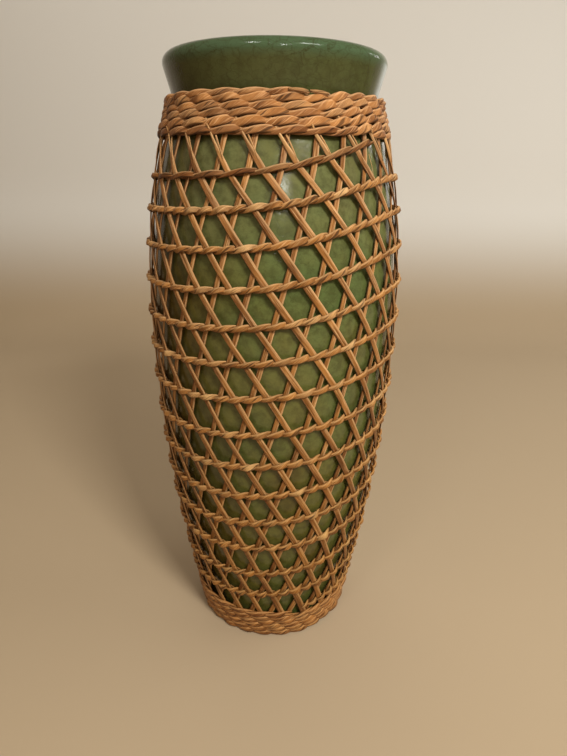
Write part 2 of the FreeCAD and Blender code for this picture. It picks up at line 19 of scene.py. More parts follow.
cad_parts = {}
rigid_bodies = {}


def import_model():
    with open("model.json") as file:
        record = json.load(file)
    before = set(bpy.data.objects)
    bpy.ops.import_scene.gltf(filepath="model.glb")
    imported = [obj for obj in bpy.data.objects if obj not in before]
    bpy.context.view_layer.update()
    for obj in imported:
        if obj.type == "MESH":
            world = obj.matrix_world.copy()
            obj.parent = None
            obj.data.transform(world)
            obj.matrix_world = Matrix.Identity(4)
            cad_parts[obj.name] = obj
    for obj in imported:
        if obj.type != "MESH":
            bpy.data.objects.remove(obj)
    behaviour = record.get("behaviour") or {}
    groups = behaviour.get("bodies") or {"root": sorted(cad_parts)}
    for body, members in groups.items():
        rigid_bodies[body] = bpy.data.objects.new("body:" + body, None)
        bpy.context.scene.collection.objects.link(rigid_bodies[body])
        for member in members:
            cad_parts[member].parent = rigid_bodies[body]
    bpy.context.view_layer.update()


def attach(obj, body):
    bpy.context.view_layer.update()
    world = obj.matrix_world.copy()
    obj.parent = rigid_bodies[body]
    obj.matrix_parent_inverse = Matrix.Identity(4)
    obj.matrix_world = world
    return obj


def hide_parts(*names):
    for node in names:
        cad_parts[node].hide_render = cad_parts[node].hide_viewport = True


LOG = logging.getLogger("vase")
TAU = 2.0 * math.pi
MM = 0.001
ROOT = "root"
OWN = 0.5
LOW_BELOW = 0.17
LOW_REACH = 0.10
# Painted shade and warm bounce light towards the foot: the heights over which it fades in, and its tint.
LOW_SHADE_BAND = (0.02, 0.27)
LOW_SHADE_TINT = (0.66, 0.56, 0.30, 1.0)

Number = Union[float, "Reading"]
Piece = bpy.types.Object
Station = tuple[Vector, Vector, Vector]
Colour = tuple[float, float, float, float]
Pair = tuple[float, float]
Triple = tuple[float, float, float]


class Slot(Enum):
    """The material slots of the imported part."""

    GLAZE = "glazed_stoneware"
    SPLINT = "split_cane"
    WEFT = "weft_cane"


def clamp(value: float, low: float = 0.0, high: float = 1.0) -> float:
    """A value held between two limits."""
    return max(low, min(high, value))


def ease(value: float) -> float:
    """A smooth step from 0 to 1."""
    part = clamp(value)
    return part * part * (3.0 - 2.0 * part)


def waver(place: float, seed: float) -> float:
    """Smooth noise, about -1 to 1, at a place on the line that the seed picks."""
    return noise.noise(Vector((place, seed * 7.31, seed * 3.17 + 0.5)))


def taper(step: int, last: int, least: float, over: float) -> float:
    """The share of its width that a strand has at a station: the least at its ends, and 1 between."""
    return least + (1.0 - least) * ease(min(step, last - step) / over)


@dataclass(frozen=True)
class Uneven:
    """One kind of unevenness: how fast it changes, how much, and which noise it follows.

    Read at OWN, it is one value for a whole strand.
    """

    rate: float
    most: float
    seed: float = 0.0

    def at(self, along: float, number: float = 0.0) -> float:
        """How much there is at a place along the strand of a number."""
        return self.most * waver(along * self.rate, number + self.seed)


def lowness(height: float) -> float:
    """0 above the vase's middle and 1 near its foot."""
    return ease((LOW_BELOW - height) / LOW_REACH)


@dataclass(frozen=True)
class Wall:
    """The upright outline of the stoneware's outside, in metres, with Z up from the foot ring."""

    overall_height: float = 306 * MM
    belly_radius: float = 62.3 * MM
    belly_height: float = 190 * MM
    lower_curve_radius: float = 816 * MM
    foot_cone_height: float = 40 * MM
    belly_curve_radius: float = 388 * MM
    shoulder_height: float = 226 * MM
    shoulder_curve_radius: float = 250 * MM
    neck_height: float = 281.9 * MM
    neck_hollow_radius: float = 12 * MM
    rim_radius: float = 52.3 * MM
    lip_radius: float = 4 * MM
    lip_inner_radius: float = 2 * MM
    wall_thickness: float = 4.2 * MM
    floor_thickness: float = 8 * MM
    foot_ring_width: float = 6 * MM
    foot_ring_depth: float = 3 * MM
    edge_round: float = 0.6 * MM
    floor_corner_height: float = 15 * MM
    outer_steps: int = 64
    inner_steps: int = 40
    neck_steps: int = 12
    lip_steps: int = 16
    corner_steps: int = 6

    @property
    def shoulder_centre(self) -> Pair:
        """Where the shoulder's curve has its centre.

        Returns:
            Its radius and height.
        """
        angle = asin((self.shoulder_height - self.belly_height) / self.belly_curve_radius)
        reach = self.belly_curve_radius - self.shoulder_curve_radius
        across = self.belly_radius - self.belly_curve_radius + reach * cos(angle)
        return across, self.belly_height + reach * sin(angle)

    def lean(self, height: float) -> float:
        """How far the wall's normal looks up.

        Args:
            height: Height above the foot ring.

        Returns:
            The angle of the outward normal above the level.
        """
        if height < self.belly_height:
            return asin((max(height, self.foot_cone_height) - self.belly_height) / self.lower_curve_radius)
        if height < self.shoulder_height:
            return asin((height - self.belly_height) / self.belly_curve_radius)
        if height < self.neck_height:
            return asin((height - self.shoulder_centre[1]) / self.shoulder_curve_radius)
        return asin((self.flare()[0][1] - height) / self.neck_hollow_radius)

    def radius(self, height: float) -> float:
        """How wide the wall is outside, below the flare.

        Args:
            height: Height above the foot ring.

        Returns:
            The outside radius.
        """
        angle = self.lean(height)
        if height < self.belly_height:
            curve = self.belly_radius - self.lower_curve_radius * (1.0 - cos(angle))
            return curve - max(0.0, self.foot_cone_height - height) * math.tan(-angle)
        if height < self.shoulder_height:
            return self.belly_radius - self.belly_curve_radius * (1.0 - cos(angle))
        if height < self.neck_height:
            return self.shoulder_centre[0] + self.shoulder_curve_radius * cos(angle)
        return self.flare()[0][0] - self.neck_hollow_radius * cos(angle)

    def frame(self, turns: float, height: float) -> Station:
        """A place on the wall, with its outward normal and its way up the wall.

        Args:
            turns: Azimuth in turns, to the right from the front.
            height: Height above the foot ring.

        Returns:
            The place, the normal and the upward direction.
        """
        around = TAU * turns
        out = Vector((sin(around), -cos(around), 0.0))
        lean = self.lean(height)
        up = Vector((0.0, 0.0, 1.0))
        place = out * self.radius(height) + up * height
        return place, out * cos(lean) + up * sin(lean), up * cos(lean) - out * sin(lean)

    def flare(self) -> tuple[Pair, Pair, float, float]:
        """The hollow of the neck and the round of the lip, joined by the straight flare.

        Returns:
            The hollow's centre, the lip's centre, and the normal's angle at the neck and on the flare.
        """
        centre, reach = self.shoulder_centre, self.shoulder_curve_radius + self.neck_hollow_radius
        neck = asin((self.neck_height - centre[1]) / self.shoulder_curve_radius)
        hollow = (centre[0] + reach * cos(neck), centre[1] + reach * sin(neck))
        lip = (self.rim_radius - self.lip_radius, self.overall_height - self.lip_radius)
        across, along = hollow[0] - lip[0], hollow[1] - lip[1]
        turn = math.acos((self.neck_hollow_radius + self.lip_radius) / math.hypot(across, along))
        return hollow, lip, neck, math.atan2(along, across) + turn

    def outline(self) -> list[Pair]:
        """The line that is spun: up the outside from the axis below, over the lip and down the inside.

        Returns:
            Radius and height of each point.
        """
        hollow, lip, neck, flare = self.flare()
        foot = self.radius(0.0)
        inner_foot = foot - self.foot_ring_width
        edge, neck_height, floor = self.edge_round, self.neck_height, self.floor_thickness
        points = [(0.0, self.foot_ring_depth), (inner_foot - edge, self.foot_ring_depth)]
        points += [(inner_foot, self.foot_ring_depth - edge), (inner_foot, edge)]
        points += [(inner_foot + edge, 0.0), (foot - edge, 0.0)]
        steps = self.outer_steps
        for level in (edge + (neck_height - edge) * n / steps for n in range(steps + 1)):
            points.append((self.radius(level), level))
        points += self.bend(hollow, -self.neck_hollow_radius, neck, flare, self.neck_steps)
        points += self.bend(lip, self.lip_radius, flare, TAU / 4, self.lip_steps)
        inner = (lip[0], lip[1] + self.lip_radius - self.lip_inner_radius)
        points += self.bend(inner, self.lip_inner_radius, TAU / 4, TAU / 2, self.corner_steps)[1:]
        wall, steps = self.wall_thickness, self.inner_steps
        for level in (neck_height - n * (neck_height - floor) / steps for n in range(steps + 1)):
            if level > floor + wall:
                points.append((self.radius(level) - wall, level))
        corner = (self.radius(self.floor_corner_height) - 2.0 * wall, floor + wall)
        points += self.bend(corner, wall, 0.0, -TAU / 4, self.corner_steps)
        points.append((0.0, floor))
        return points

    @staticmethod
    def bend(centre: Pair, radius: float, begin: float, end: float, steps: int) -> list[Pair]:
        """Points round a bend of the outline."""
        angles = (begin + (end - begin) * n / steps for n in range(steps + 1))
        return [(centre[0] + radius * cos(a), centre[1] + radius * sin(a)) for a in angles]


@dataclass(frozen=True)
class Weave:
    """Where splints and weft run, in turns of azimuth, rows and heights.

    The weft is one spiral: a full turn to the right is also one row up. A row number counts along
    a row line, and a depth counts the rows straight down from the collar in front.
    """

    wall: Wall = Wall()
    outer_splints: int = 25
    lean_share: float = 0.675
    start: float = 0.83 / 360
    pitch: float = 16.9 * MM
    open_rows: float = 14.0
    row_step: float = 33.0 / 360
    row_step_shares: Pair = (1.3, 0.35)
    early_rise: float = 58.0 / 360
    early_rise_share: float = 0.29
    early_rise_rows: Pair = (4.0, 8.0)
    early_rise_sharpness: int = 10
    drift_each_row: float = 0.5 / 360
    foot_drift: float = 17.4 / 360
    base_band_top: float = 20 * MM
    base_band_bottom: float = 1 * MM
    collar_top: float = 287.4 * MM
    collar_bottom: float = 269.2 * MM
    band_step: float = 36.0 / 360
    rows_above: float = 3.0
    rows_below: float = 4.0
    halvings: int = 30
    meet_rounds: int = 12
    row_rounds: int = 20
    row_gap_shares: tuple[float, ...] = (
        1.20, 0.82, 0.93, 1.01, 0.98, 0.98, 1.00, 1.11, 1.04, 1.03, 1.02, 1.02, 1.12, 0.98, 0.95,
    )

    @property
    def per_turn(self) -> float:
        """Outer splints met in one turn of the weft."""
        return self.outer_splints + self.lean_share

    @property
    def outer_lean(self) -> float:
        """Turns that an outer splint runs to the right in one row down."""
        return self.lean_share / self.per_turn

    @property
    def inner_lean(self) -> float:
        """Turns that an inner splint runs to the left in one row down."""
        return (1.0 - self.lean_share) / self.per_turn

    def wind(self, turns: float) -> float:
        """How many rows the weft has gained, mostly at the step.

        Args:
            turns: Azimuth in turns, to the right from the front.

        Returns:
            The rows.
        """
        once, twice = self.row_step_shares
        angle = TAU * (turns - self.row_step)
        zero = -TAU * self.row_step
        wave = once * (sin(angle) - sin(zero)) + 0.5 * twice * (sin(2 * angle) - sin(2 * zero))
        return turns + wave / TAU

    def height(self, turns: float, depth: float) -> float:
        """How high the weft runs.

        Args:
            turns: Azimuth in turns.
            depth: Rows straight down from the collar in front.

        Returns:
            The height.
        """
        shares = self.row_gap_shares
        row = max(0, min(len(shares) - 1, math.floor(depth)))
        below = sum(shares[row + 1:]) + shares[row] * (row + 1 - depth)
        full, none = self.early_rise_rows
        fade = clamp((none - depth) / (none - full))
        bump = (0.5 + 0.5 * cos(TAU * (turns - self.early_rise))) ** self.early_rise_sharpness
        return self.base_band_top + self.pitch * (below + self.early_rise_share * bump * fade)

    def depth(self, turns: float, height: float) -> float:
        """The depth at which the weave reaches a height, found by halving.

        Args:
            turns: Azimuth in turns.
            height: Height above the foot ring.

        Returns:
            The depth in rows.
        """
        high, low = -self.rows_above, self.open_rows + self.rows_below
        for _ in range(self.halvings):
            middle = 0.5 * (high + low)
            if self.height(turns, middle) > height:
                high = middle
            else:
                low = middle
        return 0.5 * (high + low)

    def drift(self, depth: float) -> float:
        """How far the whole lattice has turned to the right at a depth, in turns."""
        return self.drift_each_row * depth - self.foot_drift * (depth / (self.open_rows + 1.0)) ** 3

    def meet(self, first: float, lean: float, row: float) -> Pair:
        """Where a splint's line meets a row line.

        Args:
            first: The splint's azimuth in turns on the first row line.
            lean: Its turns to the right in each row.
            row: The number of the row line.

        Returns:
            Azimuth in turns, and height.
        """
        turns = first + lean * row
        for _ in range(self.meet_rounds):
            turns = first + lean * row + self.drift(row - self.wind(turns))
        return turns, self.height(turns, row - self.wind(turns))

    def row_at(self, first: float, lean: float, height: float) -> float:
        """The row line at which a splint reaches a height.

        Args:
            first: The splint's azimuth in turns on the first row line.
            lean: Its turns to the right in each row.
            height: Height above the foot ring.

        Returns:
            The row number.
        """
        turns, row = first, 0.0
        for _ in range(self.row_rounds):
            depth = self.depth(turns, height)
            row = depth + self.wind(turns)
            turns = first + lean * row + self.drift(depth)
        return row


@dataclass(frozen=True)
class Lay:
    """One station of a strand: its middle, its two cross directions, its half sizes and its colour there."""

    middle: Vector
    across: Vector
    through: Vector
    half_width: float
    half_thickness: float
    along: float
    dark: float = 0.0
    pale: float = 0.0


def heading(stations: Sequence[Sequence[Any]], step: int) -> Station:
    """Which way a strand runs past a station.

    Args:
        stations: The strand's stations, each with its place and the wall's normal first.
        step: Which of them.

    Returns:
        The run, the direction across it along the wall, and the direction out of the wall.
    """
    before, after = stations[max(step - 1, 0)][0], stations[min(step + 1, len(stations) - 1)][0]
    normal = stations[step][1]
    run = (after - before).normalized()
    through = (normal - run * normal.dot(run)).normalized()
    return run, through.cross(run), through


@dataclass(frozen=True)
class CaneMaker:
    """Rolls grids into closed strands of cane that follow their stations.

    A squareness of 1 gives a round section. The creases' depth is a share of the half thickness.
    """

    sides: int
    squareness: float
    creases: float
    weld: float = 1e-7
    fold_rate: float = 110.0
    fold_seed_step: float = 9.0
    fold_side_step: float = 1.7

    def roll(self, name: str, strips: Sequence[Sequence[Lay]], seed: float) -> Piece:
        """One object of one or more strands, each through its stations, with closed ends.

        Args:
            name: The piece's name.
            strips: The stations of each strand, in order.
            seed: Which noise the fibres follow.

        Returns:
            The finished object at the origin.
        """
        mesh = bmesh.new()
        fibre = mesh.loops.layers.uv.new("Fibre")
        # The second map holds how dark and how pale each station is: stains and worn places, and full darkness on the
        # painted shadow strips.
        wear_and_shadow = mesh.loops.layers.uv.new("WearAndShadow")
        for number, lays in enumerate(strips):
            runs = len(lays) - 1
            grid = bmesh.ops.create_grid(mesh, x_segments=runs, y_segments=self.sides, size=1.0)
            where = {}
            for vert in grid["verts"]:
                where[vert] = (round((vert.co.x + 1.0) * 0.5 * runs), round((vert.co.y + 1.0) * 0.5 * self.sides))
            for face in {face for vert in where for face in vert.link_faces}:
                for loop in face.loops:
                    step, side = where[loop.vert]
                    loop[fibre].uv = (lays[step].along + seed + number, side / self.sides)
                    loop[wear_and_shadow].uv = (lays[step].dark, lays[step].pale)
            for vert, (step, side) in where.items():
                vert.co = self.place(lays[step], side, seed + number)
        bmesh.ops.remove_doubles(mesh, verts=mesh.verts, dist=self.weld)
        bmesh.ops.holes_fill(mesh, edges=[edge for edge in mesh.edges if edge.is_boundary], sides=self.sides)
        bmesh.ops.recalc_face_normals(mesh, faces=mesh.faces)
        return finish_mesh(mesh, name)

    def place(self, lay: Lay, side: int, seed: float) -> Vector:
        """Where a corner of a strand's section lies.

        Args:
            lay: The station that the section stands at.
            side: The corner, counted round the section.
            seed: Which noise the creases follow.

        Returns:
            The place.
        """
        angle = TAU * (side % self.sides) / self.sides
        wide, thick = cos(angle), sin(angle)
        wide = math.copysign(abs(wide) ** self.squareness, wide)
        thick = math.copysign(abs(thick) ** self.squareness, thick)
        line = self.fold_side_step * (side % self.sides) + seed
        fold = 1.0 + self.creases * waver(lay.along * self.fold_rate + self.fold_seed_step * seed, line)
        return lay.middle + lay.across * (lay.half_width * wide) + lay.through * (lay.half_thickness * thick * fold)


def finish_mesh(mesh: bmesh.types.BMesh, name: str) -> Piece:
    """Puts a mesh into an object at the origin, with smooth faces.

    Args:
        mesh: The finished mesh, which is freed.
        name: The name of the object.

    Returns:
        The object.
    """
    data = bpy.data.meshes.new(name)
    mesh.to_mesh(data)
    mesh.free()
    data.shade_smooth()
    piece = bpy.data.objects.new(name, data)
    bpy.context.scene.collection.objects.link(piece)
    return piece


def operator(operation: str, reflected: bool = False) -> Callable[["Reading", Number], "Reading"]:
    """Makes an arithmetic operator for Reading.

    Args:
        operation: The Math node's operation.
        reflected: Whether the reading is its second term.

    Returns:
        The operator.
    """
    def apply(self: "Reading", other: Number) -> "Reading":
        """The operation on a reading and another term."""
        return self.math(operation, *((other, self) if reflected else (self, other)))

    return apply


@dataclass(frozen=True)
class Reading:
    """A socket's value on a material's bench, with the arithmetic that materials use."""

    bench: "Bench"
    socket: bpy.types.NodeSocket

    def math(self, operation: str, *terms: Number) -> "Reading":
        """Adds one Math node."""
        return self.bench.add("ShaderNodeMath", {"operation": operation}, dict(enumerate(terms)))

    __add__, __radd__ = operator("ADD"), operator("ADD", True)
    __sub__, __rsub__ = operator("SUBTRACT"), operator("SUBTRACT", True)
    __mul__, __rmul__ = operator("MULTIPLY"), operator("MULTIPLY", True)

    def cosine(self) -> "Reading":
        """The cosine of this."""
        return self.math("COSINE", self)

    def between(self, low: float, high: float) -> "Reading":
        """0 below the first limit, 1 above the second, and smooth between."""
        settings = {"interpolation_type": "SMOOTHSTEP"}
        return self.bench.add("ShaderNodeMapRange", settings, {0: self, 1: low, 2: high, 3: 0.0, 4: 1.0})


class Bench:
    """Builds one material's nodes."""

    def __init__(self, name: str) -> None:
        """Starts an empty material.

        Args:
            name: The name of the material.
        """
        self.material = bpy.data.materials.new(name)
        self.material.use_nodes = True
        self.tree = self.material.node_tree
        self.tree.nodes.clear()

    def add(self, kind: str, settings: dict[str, Any], inputs: dict[Any, Any], output: Any = 0) -> Reading:
        """Adds a node.

        Args:
            kind: The node's type.
            settings: What is set on the node first.
            inputs: Socket to value, or to the reading that feeds it.
            output: The socket to read.

        Returns:
            The reading of that output.
        """
        node = self.tree.nodes.new(kind)
        for key, value in settings.items():
            setattr(node, key, value)
        for key, value in inputs.items():
            if isinstance(value, Reading):
                self.tree.links.new(value.socket, node.inputs[key])
            else:
                node.inputs[key].default_value = value
        return Reading(self, node.outputs[output])

    def objects(self) -> Reading:
        """Object coordinates."""
        return self.add("ShaderNodeTexCoord", {}, {}, "Object")

    def layer(self, name: str) -> Reading:
        """One of a piece's maps: Fibre, metres along and turns round, or the other, how dark and how pale: stains and
        worn places, and the darkness of painted shadow strips.
        """
        return self.add("ShaderNodeUVMap", {"uv_map": name}, {})

    def stretch(self, vector: Reading, scale: Triple) -> Reading:
        """A vector times a scale on each axis."""
        return self.add("ShaderNodeVectorMath", {"operation": "MULTIPLY"}, {0: vector, 1: scale})

    def split(self, vector: Reading, axis: str) -> Reading:
        """One part of a vector."""
        return self.add("ShaderNodeSeparateXYZ", {}, {0: vector}, axis)

    def grain(self, vector: Reading, scale: float, detail: float = 3.0, rough: float = 0.55) -> Reading:
        """Noise, about 0 to 1."""
        sockets = {"Vector": vector, "Scale": scale, "Detail": detail, "Roughness": rough}
        return self.add("ShaderNodeTexNoise", {}, sockets)

    def mix(self, share: Number, first: Any, second: Any, blend: str = "MIX") -> Reading:
        """Two colours mixed."""
        settings = {"data_type": "RGBA", "blend_type": blend}
        return self.add("ShaderNodeMix", settings, {0: share, 6: first, 7: second}, 2)

    def coats(self, colour: Reading, *coats: tuple[Number, Colour]) -> Reading:
        """A colour under others.

        Args:
            colour: The lowest colour.
            *coats: The share and the colour of each coat, from below.

        Returns:
            The colour that shows.
        """
        for share, coat in coats:
            colour = self.mix(share, colour, coat)
        return colour

    def warmed(self, colour: Reading, level: Reading, most: float) -> Reading:
        """Painted shade and warm bounce light: a colour that gets darker and yellower down the vase, to the most at
        the foot.
        """
        low = 1.0 - level.between(*LOW_SHADE_BAND)
        return self.mix(low * most, colour, LOW_SHADE_TINT, "MULTIPLY")

    def surface(self, **sockets: Number) -> bpy.types.Material:
        """Ends the material in its shader.

        Args:
            **sockets: Values and readings by socket name, with _ for a space.

        Returns:
            The finished material.
        """
        named = {name.replace("_", " "): value for name, value in sockets.items()}
        shader = self.add("ShaderNodeBsdfPrincipled", {}, named)
        node = self.tree.nodes.new("ShaderNodeOutputMaterial")
        self.tree.links.new(shader.socket, node.inputs["Surface"])
        return self.material


def tint(red: int, green: int, blue: int) -> Colour:
    """An opaque colour as a shader takes it, from its three parts as a screen shows them.

    Args:
        red: The red part, 0 to 255.
        green: The green part.
        blue: The blue part.

    Returns:
        The linear colour and an alpha of 1.
    """
    parts = (part / 255 for part in (red, green, blue))
    linear = [part / 12.92 if part <= 0.04045 else ((part + 0.055) / 1.055) ** 2.4 for part in parts]
    return linear[0], linear[1], linear[2], 1.0


@dataclass(frozen=True)
class CrackleGlaze:
    """A glossy olive glaze with a fine crackle, browner where it ran thin, with painted shade on its left side, on
    the neck and towards the foot, painted warm bounce light towards the foot, and a painted reflection on the
    shoulder.
    """

    olive: Colour = tint(102, 101, 51)
    moss: Colour = tint(88, 101, 56)
    brown: Colour = tint(80, 58, 22)
    lip: Colour = tint(68, 88, 62)
    crack: Colour = tint(48, 46, 18)
    # Painted shade on the neck and flare.
    painted_shade: Colour = tint(52, 54, 22)
    # Painted reflection on the shoulder.
    shoulder_reflection: Colour = tint(116, 120, 82)
    clay: Colour = tint(150, 126, 98)
    glazed_above: float = 2.0 * MM
    # The X band of the painted shade on the left side, then the height bands of the painted reflection on the
    # shoulder, the painted shade on the neck, and the lip.
    left_shade_band: Pair = (-0.055, -0.005)
    reflection_band: Pair = (0.205, 0.250)
    upper_band: Pair = (0.262, 0.280)
    rim_band: Pair = (0.2975, 0.3030)
    coarse_net: Pair = (150.0, 2.1)
    fine_net: Pair = (290.0, 1.5)
    # How much painted shade and warm bounce light there is at the foot.
    low_shade: float = 0.60

    def make(self) -> bpy.types.Material:
        """Mixes the glaze.

        Returns:
            The finished material.
        """
        bench = Bench("crackle_glaze")
        place = bench.objects()
        level = bench.split(place, "Z")
        cloud = bench.grain(place, 16.0, 4.0, 0.6)
        mottle = bench.grain(place, 210.0, 3.0, 0.65)
        patch = bench.grain(bench.stretch(place, (1.0, 1.0, 0.5)), 27.0, 3.0, 0.6)
        # Painted shade: the glaze gets browner towards the vase's left side.
        left_shade = 1.0 - bench.split(place, "X").between(*self.left_shade_band)
        upper = level.between(*self.upper_band)
        rim = level.between(*self.rim_band)
        net = self.net(bench, place, *self.coarse_net) + self.net(bench, place, *self.fine_net) * 0.6
        line = net * cloud.between(0.25, 0.7)
        colour = bench.coats(
            bench.mix(cloud.between(0.36, 0.66), self.olive, self.moss),
            (patch.between(0.50, 0.72) * 0.55, self.brown),
            (left_shade * (0.35 + patch * 0.7), self.brown),
            # Painted reflection: a paler grey-green band on the shoulder.
            (level.between(*self.reflection_band) * 0.35, self.shoulder_reflection),
            # Painted shade: darker from the upper shoulder over the neck and flare.
            (upper * 0.75, self.painted_shade),
            (mottle.between(0.36, 0.70) * 0.45, self.crack),
            (rim * 0.85, self.lip),
            (line * (0.22 + rim * 0.1 + upper * 0.22), self.crack),
        )
        # Painted shade and warm bounce light: darker and yellower towards the foot.
        colour = bench.warmed(colour, level, self.low_shade)
        bare = 1.0 - level.between(self.glazed_above * 0.5, self.glazed_above)
        colour = bench.mix(bare, colour, self.clay)
        rough = 0.14 + mottle * 0.10 - rim * 0.08 + bare * 0.5
        height = cloud * 0.5 + mottle * 0.10 - line * 0.06
        normal = bench.add("ShaderNodeBump", {}, {"Strength": 0.32, "Distance": 0.0012, "Height": height})
        return bench.surface(Base_Color=colour, Roughness=rough, Normal=normal, IOR=1.5)

    @staticmethod
    def net(bench: Bench, place: Reading, scale: float, squash: float) -> Reading:
        """One net of wavy cracks.

        Args:
            bench: The material's bench.
            place: Object coordinates.
            scale: Cells in a metre.
            squash: How much flatter than wide the cells are.

        Returns:
            1 on a crack and 0 off it.
        """
        bend = bench.add("ShaderNodeTexNoise", {}, {"Vector": place, "Scale": scale * 1.1, "Detail": 4.0}, "Color")
        reach = 1.1 / scale
        bent = bench.add(
            "ShaderNodeVectorMath", {"operation": "MULTIPLY_ADD"}, {0: bend, 1: (reach, reach, reach), 2: place}
        )
        cells = bench.add(
            "ShaderNodeTexVoronoi", {"feature": "DISTANCE_TO_EDGE"},
            {"Vector": bench.stretch(bent, (1.0, 1.0, squash)), "Scale": scale},
        )
        return 1.0 - cells.between(0.0, 0.07)


@dataclass(frozen=True)
class Cane:
    """Split bamboo or twisted cane: long fibres, tan with pale worn places, a painted highlight on the edge towards
    the light and painted shade on the other edge and in the creases, and painted shade and warm bounce light towards
    the foot.
    """

    name: str
    pale: Colour
    tan: Colour
    brown: Colour
    dark: Colour
    # How strong the painted highlight and the painted shade on the edges are.
    edge: float
    twist: float
    creased: float
    # Where round the section the painted highlight and the painted shade of the edges lie, in turns.
    lit_turn: float = 0.12
    shaded_turn: float = 0.52
    worn: Colour = tint(228, 188, 132)
    streaks: Triple = (60.0, 22.0, 1.0)
    threads: Triple = (240.0, 70.0, 1.0)
    creases: Triple = (70.0, 8.0, 1.0)
    tones: Triple = (70.0, 1.6, 1.0)
    # How much painted shade and warm bounce light there is at the foot.
    low_shade: float = 0.66

    def make(self) -> bpy.types.Material:
        """Mixes the look of the cane.

        Returns:
            The finished material.
        """
        bench = Bench(self.name)
        fibre = bench.layer("Fibre")
        wear_and_shadow = bench.layer("WearAndShadow")
        along = bench.split(fibre, "X")
        turn = bench.split(fibre, "Y")
        lay = turn + along * self.twist
        run = bench.add("ShaderNodeCombineXYZ", {}, {0: along, 1: lay, 2: 0.0})
        streak = bench.grain(bench.stretch(run, self.streaks), 1.0, 4.0, 0.65)
        thread = bench.grain(bench.stretch(run, self.threads), 1.0, 2.0, 0.6)
        crease = bench.grain(bench.stretch(run, self.creases), 1.0, 1.5, 0.5).between(0.57, 0.66)
        tone = bench.grain(bench.stretch(run, self.tones), 1.0, 2.0, 0.5)
        # Painted highlight on the edge that faces the light, and painted shade on the edge turned away from it.
        lit = ((turn - self.lit_turn) * TAU).cosine().between(0.80, 1.0)
        shaded_edge = ((turn - self.shaded_turn) * TAU).cosine().between(0.35, 1.0)
        colour = bench.coats(
            bench.mix(tone.between(0.34, 0.66), self.brown, self.tan),
            (streak.between(0.48, 0.74) * 0.85, self.pale),
            (bench.split(wear_and_shadow, "Y") * (0.55 + streak * 0.6), self.worn),
        )
        colour = bench.coats(
            # Stains darken the cane, and the painted shadow strips are darkened fully.
            bench.mix(bench.split(wear_and_shadow, "X") * 0.8, colour, self.brown, "MULTIPLY"),
            (thread.between(0.52, 0.74) * 0.6, self.dark),
            # Painted shade in the creases.
            (crease * self.creased, self.dark),
            (lit * (streak * self.edge), self.pale),
            (shaded_edge * self.edge, self.dark),
        )
        # Painted shade and warm bounce light: darker and yellower towards the foot.
        colour = bench.warmed(colour, bench.split(bench.objects(), "Z"), self.low_shade)
        height = streak * 0.6 + thread * 0.4 - crease * (self.creased * 0.9)
        normal = bench.add("ShaderNodeBump", {}, {"Strength": 0.6, "Distance": 0.0004, "Height": height})
        rough = 0.44 + streak * 0.22
        return bench.surface(Base_Color=colour, Roughness=rough, Normal=normal, IOR=1.42)


SPLINT_CANE = Cane(
    "split_cane", pale=tint(234, 192, 142), tan=tint(172, 118, 60), brown=tint(130, 82, 34), dark=tint(58, 31, 10),
    edge=0.8, twist=0.0, creased=0.35,
)
WEFT_CANE = Cane(
    "twined_cane", pale=tint(232, 188, 134), tan=tint(172, 118, 60), brown=tint(126, 80, 34), dark=tint(46, 23, 7),
    edge=0.7, twist=45.0, creased=0.75, lit_turn=0.40, shaded_turn=0.97,
)
COLLAR_CANE = Cane(
    "collar_cane", pale=tint(236, 186, 134), tan=tint(176, 120, 66), brown=tint(122, 74, 34), dark=tint(42, 19, 5),
    edge=0.8, twist=45.0, creased=0.7, lit_turn=0.40, shaded_turn=0.97,
)


@dataclass
class Stoneware:
    """The vase itself."""

    wall: Wall
    steps: int = 160
    weld: float = 1e-6

    def build(self) -> Piece:
        """Spins the wall's outline, glazes it and dresses it.

        Returns:
            The vase.
        """
        mesh = bmesh.new()
        verts = [mesh.verts.new((radius, 0.0, height)) for radius, height in self.wall.outline()]
        edges = [mesh.edges.new(pair) for pair in zip(verts, verts[1:])]
        bmesh.ops.spin(
            mesh, geom=verts + edges, cent=(0, 0, 0), axis=(0, 0, 1), angle=TAU, steps=self.steps, use_merge=True
        )
        bmesh.ops.remove_doubles(mesh, verts=mesh.verts, dist=self.weld)
        bmesh.ops.recalc_face_normals(mesh, faces=mesh.faces)
        piece = finish_mesh(mesh, "stoneware")
        piece.data.materials.append(CrackleGlaze().make())
        return dress(piece, ["vase"])


def dress(piece: Piece, nodes: Sequence[str]) -> Piece:
    """Hangs a piece on the part's body in place of its solids.

    Args:
        piece: The finished piece.
        nodes: The solids that it stands for.

    Returns:
        The piece.
    """
    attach(piece, ROOT)
    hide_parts(*nodes)
    return piece


